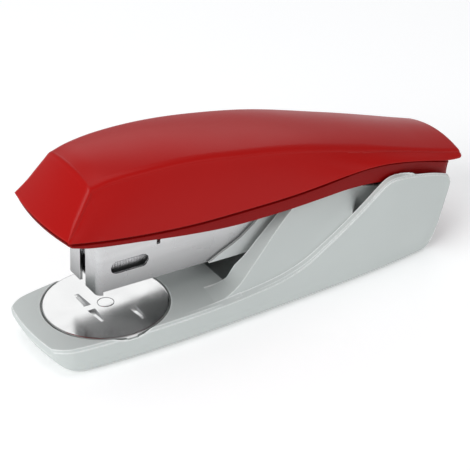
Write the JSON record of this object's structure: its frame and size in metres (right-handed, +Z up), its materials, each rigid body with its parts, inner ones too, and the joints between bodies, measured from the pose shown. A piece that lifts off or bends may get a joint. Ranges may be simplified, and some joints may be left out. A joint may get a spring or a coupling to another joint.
{
  "type": "desktop stapler",
  "caption": "Desktop half-strip stapler with a press cover, a steel magazine arm on a rear pivot and a turning anvil disc in its base",
  "frame": {"origin": "On the resting surface, under the middle of the whole stapler", "axes": "X runs along the stapler from the nose (-X) to the rear (+X), Y across it, Z up"},
  "size_m": [0.142, 0.0392, 0.0575],
  "materials": {
    "base_plastic": "light grey moulded plastic, satin",
    "cheek_plastic": "light grey moulded plastic, satin",
    "sleeve_plastic": "light grey moulded plastic, satin",
    "sole_rubber": "dark grey anti-slip rubber",
    "anvil_chrome": "polished plated steel",
    "arm_nickel": "satin nickel-plated sheet steel",
    "lever_steel": "zinc-plated sheet steel",
    "rail_steel": "hardened sheet steel",
    "dark_steel": "oiled steel",
    "screw_steel": "zinc-plated steel",
    "pin_steel": "turned bright steel",
    "spring_steel": "drawn spring steel",
    "staple_wire": "galvanised wire",
    "pusher_plastic": "black slick plastic",
    "cover_red": "red moulded plastic, satin gloss",
    "frame_red": "red moulded plastic, satin"
  },
  "bodies": {
    "base": {"base_shell": "base_plastic", "base_plate": "dark_steel", "plate_screws": "screw_steel", "sole_pad": "sole_rubber", "hinge_cheeks": "cheek_plastic", "cheek_screws": "screw_steel", "pivot_pin": "pin_steel", "pin_rings": "dark_steel", "return_spring": "spring_steel"},
    "anvil": {"anvil_disc": "anvil_chrome", "anvil_stud": "anvil_chrome", "anvil_spring": "spring_steel", "anvil_ring": "dark_steel"},
    "magazine": {"magazine_arm": "arm_nickel", "magazine_sleeve": "sleeve_plastic", "arm_rivets": "pin_steel", "staple_rail": "rail_steel", "guide_rod": "pin_steel", "rod_nut": "dark_steel", "staple_strip": "staple_wire", "pusher_spring": "spring_steel"},
    "pusher": {"pusher": "pusher_plastic"},
    "handle": {"cover": "cover_red", "cover_frame": "frame_red", "press_lever": "lever_steel", "driver_blade": "rail_steel", "blade_rivets": "pin_steel", "leaf_spring": "spring_steel", "leaf_rivets": "pin_steel", "cover_screws": "screw_steel"}
  },
  "joints": [
    {"name": "magazine_pivot", "type": "hinge", "parent": "base", "child": "magazine", "pos_m": [0.0515, 0, 0.0185], "axis": [0, 1, 0], "range_deg": [-4.75, 0], "stiffness_Nm_per_rad": 1.5, "springref_deg": 8.02, "deforming": ["return_spring"]},
    {"name": "handle_pivot", "type": "hinge", "parent": "magazine", "child": "handle", "pos_m": [0.0515, 0, 0.0185], "axis": [0, 1, 0], "range_deg": [-4.2, 60], "stiffness_Nm_per_rad": 1.2, "springref_deg": 1.15, "deforming": ["leaf_spring"]},
    {"name": "pusher_slide", "type": "slide", "parent": "magazine", "child": "pusher", "axis": [0.999, 0, -0.0454], "range_m": [0, 0.028], "stiffness_N_per_m": 30, "springref_m": -0.01, "deforming": ["pusher_spring"]},
    {"name": "anvil_turn", "type": "hinge", "parent": "base", "child": "anvil", "pos_m": [-0.0465, 0, 0.0088], "axis": [0, 0, 1], "range_deg": [0, 180]}
  ]
}
